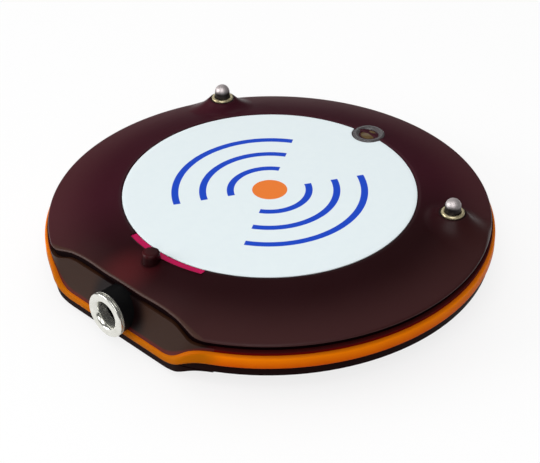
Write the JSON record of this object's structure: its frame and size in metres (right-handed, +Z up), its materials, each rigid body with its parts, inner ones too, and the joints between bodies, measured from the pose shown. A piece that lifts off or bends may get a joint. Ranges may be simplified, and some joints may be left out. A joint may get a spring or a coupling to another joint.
{
  "type": "guest pager",
  "caption": "Round rechargeable guest pager: two-part disc housing with a bumper band, flat side with charging socket, spring contacts and stacking peg on top, cups below.",
  "frame": {"origin": "centre of the disc on the plane that the base rests on", "axes": "+Z up out of the labelled face, -Y out of the charging socket, +X to the right seen from the socket's side"},
  "size_m": [0.108, 0.1064, 0.0221],
  "materials": {
    "smoked_red_plastic": "smoked dark red, slightly see-through, satin gloss",
    "amber_rubber": "translucent amber orange, satin",
    "label_film": "printed white film",
    "dark_film": "near black, gloss",
    "clear_plastic": "clear, polished",
    "receiver_lens": "brass brown lens",
    "black_plastic": "black, satin",
    "nickel": "bright nickel plate",
    "tinned_metal": "tinned",
    "circuit_board": "green solder mask",
    "lamp_plastic": "red lamp lens",
    "copper_wire": "enamelled copper",
    "component_ceramic": "fired ceramic chips",
    "motor_steel": "plain steel",
    "cell_foil": "foil pouch",
    "foam_pad": "closed-cell foam tape",
    "white_plastic": "natural nylon",
    "lead_insulation": "red insulation",
    "black_steel": "blackened",
    "gold_plate": "pale gold plate"
  },
  "bodies": {
    "case": {"upper_shell": "smoked_red_plastic", "lower_shell": "smoked_red_plastic", "bumper_band": "amber_rubber", "top_label": "label_film", "underside_inlay": "dark_film", "window_bezel": "clear_plastic", "window_receiver": "receiver_lens", "jack_body": "black_plastic", "jack_ferrule": "nickel", "jack_centre_pin": "nickel", "jack_terminals": "tinned_metal", "main_board": "circuit_board", "rim_leds": "lamp_plastic", "processor_chip": "black_plastic", "radio_board": "circuit_board", "radio_shield": "tinned_metal", "antenna": "copper_wire", "small_components": "component_ceramic", "buzzer": "black_plastic", "vibration_motor": "motor_steel", "motor_bracket": "black_plastic", "battery_pack": "cell_foil", "battery_pad": "foam_pad", "battery_connector": "white_plastic", "battery_leads": "lead_insulation", "case_screws": "black_steel", "right_contact_barrel": "gold_plate", "left_contact_barrel": "gold_plate", "right_contact_spring": "motor_steel", "left_contact_spring": "motor_steel", "right_charge_cup": "gold_plate", "left_charge_cup": "gold_plate"},
    "left_contact": {"left_contact_pin": "nickel"},
    "right_contact": {"right_contact_pin": "nickel"},
    "vibration_weight": {"motor_shaft": "motor_steel", "eccentric_weight": "tinned_metal"}
  },
  "joints": [
    {"name": "left_contact_press", "type": "slide", "parent": "case", "child": "left_contact", "axis": [0, 0, -1], "range_m": [0, 0.0015], "stiffness_N_per_m": 400, "springref_m": -0.001, "deforming": ["left_contact_spring"]},
    {"name": "right_contact_press", "type": "slide", "parent": "case", "child": "right_contact", "axis": [0, 0, -1], "range_m": [0, 0.0015], "stiffness_N_per_m": 400, "springref_m": -0.001, "deforming": ["right_contact_spring"]},
    {"name": "weight_spin", "type": "hinge", "parent": "case", "child": "vibration_weight", "pos_m": [0.012, 0.006, 0.0127], "axis": [1, 0, 0], "continuous": true}
  ]
}
